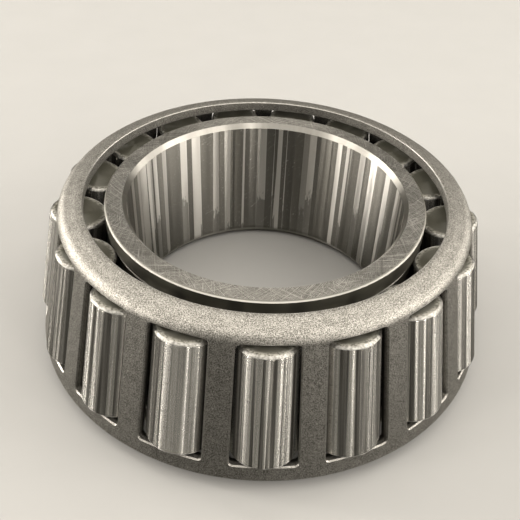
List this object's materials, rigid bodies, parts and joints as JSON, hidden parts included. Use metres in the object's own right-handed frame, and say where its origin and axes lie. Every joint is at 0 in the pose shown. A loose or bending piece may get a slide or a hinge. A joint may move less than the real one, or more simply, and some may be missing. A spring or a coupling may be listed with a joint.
{
  "type": "tapered roller bearing cone assembly",
  "caption": "Tapered roller bearing without its outer ring: a ribbed inner ring with a conical raceway, a pressed-steel window cage and a set of free-turning tapered rollers.",
  "frame": {"origin": "centre of the inner ring's back face (large-rib side), on the surface the bearing stands on", "axes": "+Z along the bore axis towards the small end of the rollers; +X and +Y are arbitrary, with the first roller close to -Y"},
  "size_m": [0.1143, 0.1143, 0.0399],
  "materials": {
    "ring_steel": "ground and honed bearing steel",
    "cage_steel": "matt, fine-grained pressed steel",
    "roller_steel": "finely ground bearing steel"
  },
  "bodies": {
    "inner_ring": {"inner_ring": "ring_steel"},
    "cage": {"cage": "cage_steel"},
    "roller_01": {"roller_01": "roller_steel"},
    "roller_02": {"roller_02": "roller_steel"},
    "roller_03": {"roller_03": "roller_steel"},
    "roller_04": {"roller_04": "roller_steel"},
    "roller_05": {"roller_05": "roller_steel"},
    "roller_06": {"roller_06": "roller_steel"},
    "roller_07": {"roller_07": "roller_steel"},
    "roller_08": {"roller_08": "roller_steel"},
    "roller_09": {"roller_09": "roller_steel"},
    "roller_10": {"roller_10": "roller_steel"},
    "roller_11": {"roller_11": "roller_steel"},
    "roller_12": {"roller_12": "roller_steel"},
    "roller_13": {"roller_13": "roller_steel"},
    "roller_14": {"roller_14": "roller_steel"},
    "roller_15": {"roller_15": "roller_steel"},
    "roller_16": {"roller_16": "roller_steel"},
    "roller_17": {"roller_17": "roller_steel"}
  },
  "joints": [
    {"name": "cage_spin", "type": "hinge", "parent": "inner_ring", "child": "cage", "pos_m": [0, 0, 0.02], "axis": [0, 0, 1], "continuous": true},
    {"name": "roller_01_spin", "type": "hinge", "parent": "cage", "child": "roller_01", "pos_m": [0.00194, -0.0473, 0.02065], "axis": [-0.0079, 0.1913, 0.9815], "continuous": true},
    {"name": "roller_02_spin", "type": "hinge", "parent": "cage", "child": "roller_02", "pos_m": [0.0189, -0.04341, 0.02065], "axis": [-0.0764, 0.1756, 0.9815], "continuous": true},
    {"name": "roller_03_spin", "type": "hinge", "parent": "cage", "child": "roller_03", "pos_m": [0.0333, -0.03365, 0.02065], "axis": [-0.1347, 0.1361, 0.9815], "continuous": true},
    {"name": "roller_04_spin", "type": "hinge", "parent": "cage", "child": "roller_04", "pos_m": [0.04321, -0.01935, 0.02065], "axis": [-0.1748, 0.0783, 0.9815], "continuous": true},
    {"name": "roller_05_spin", "type": "hinge", "parent": "cage", "child": "roller_05", "pos_m": [0.04728, -0.00243, 0.02065], "axis": [-0.1912, 0.0098, 0.9815], "continuous": true},
    {"name": "roller_06_spin", "type": "hinge", "parent": "cage", "child": "roller_06", "pos_m": [0.04497, 0.01481, 0.02065], "axis": [-0.1819, -0.0599, 0.9815], "continuous": true},
    {"name": "roller_07_spin", "type": "hinge", "parent": "cage", "child": "roller_07", "pos_m": [0.03658, 0.03006, 0.02065], "axis": [-0.148, -0.1216, 0.9815], "continuous": true},
    {"name": "roller_08_spin", "type": "hinge", "parent": "cage", "child": "roller_08", "pos_m": [0.02325, 0.04124, 0.02065], "axis": [-0.094, -0.1668, 0.9815], "continuous": true},
    {"name": "roller_09_spin", "type": "hinge", "parent": "cage", "child": "roller_09", "pos_m": [0.00678, 0.04685, 0.02065], "axis": [-0.0274, -0.1895, 0.9815], "continuous": true},
    {"name": "roller_10_spin", "type": "hinge", "parent": "cage", "child": "roller_10", "pos_m": [-0.0106, 0.04614, 0.02065], "axis": [0.0429, -0.1866, 0.9815], "continuous": true},
    {"name": "roller_11_spin", "type": "hinge", "parent": "cage", "child": "roller_11", "pos_m": [-0.02655, 0.0392, 0.02065], "axis": [0.1074, -0.1585, 0.9815], "continuous": true},
    {"name": "roller_12_spin", "type": "hinge", "parent": "cage", "child": "roller_12", "pos_m": [-0.03892, 0.02696, 0.02065], "axis": [0.1574, -0.109, 0.9815], "continuous": true},
    {"name": "roller_13_spin", "type": "hinge", "parent": "cage", "child": "roller_13", "pos_m": [-0.04603, 0.01108, 0.02065], "axis": [0.1862, -0.0448, 0.9815], "continuous": true},
    {"name": "roller_14_spin", "type": "hinge", "parent": "cage", "child": "roller_14", "pos_m": [-0.04692, -0.0063, 0.02065], "axis": [0.1898, 0.0255, 0.9815], "continuous": true},
    {"name": "roller_15_spin", "type": "hinge", "parent": "cage", "child": "roller_15", "pos_m": [-0.04148, -0.02282, 0.02065], "axis": [0.1678, 0.0923, 0.9815], "continuous": true},
    {"name": "roller_16_spin", "type": "hinge", "parent": "cage", "child": "roller_16", "pos_m": [-0.03043, -0.03626, 0.02065], "axis": [0.1231, 0.1467, 0.9815], "continuous": true},
    {"name": "roller_17_spin", "type": "hinge", "parent": "cage", "child": "roller_17", "pos_m": [-0.01528, -0.04481, 0.02065], "axis": [0.0618, 0.1812, 0.9815], "continuous": true}
  ],
  "couplings": [
    {"joint": "roller_01_spin", "follows": "cage_spin", "ratio": 5.6262},
    {"joint": "roller_02_spin", "follows": "cage_spin", "ratio": 5.6262},
    {"joint": "roller_03_spin", "follows": "cage_spin", "ratio": 5.6262},
    {"joint": "roller_04_spin", "follows": "cage_spin", "ratio": 5.6262},
    {"joint": "roller_05_spin", "follows": "cage_spin", "ratio": 5.6262},
    {"joint": "roller_06_spin", "follows": "cage_spin", "ratio": 5.6262},
    {"joint": "roller_07_spin", "follows": "cage_spin", "ratio": 5.6262},
    {"joint": "roller_08_spin", "follows": "cage_spin", "ratio": 5.6262},
    {"joint": "roller_09_spin", "follows": "cage_spin", "ratio": 5.6262},
    {"joint": "roller_10_spin", "follows": "cage_spin", "ratio": 5.6262},
    {"joint": "roller_11_spin", "follows": "cage_spin", "ratio": 5.6262},
    {"joint": "roller_12_spin", "follows": "cage_spin", "ratio": 5.6262},
    {"joint": "roller_13_spin", "follows": "cage_spin", "ratio": 5.6262},
    {"joint": "roller_14_spin", "follows": "cage_spin", "ratio": 5.6262},
    {"joint": "roller_15_spin", "follows": "cage_spin", "ratio": 5.6262},
    {"joint": "roller_16_spin", "follows": "cage_spin", "ratio": 5.6262},
    {"joint": "roller_17_spin", "follows": "cage_spin", "ratio": 5.6262}
  ]
}
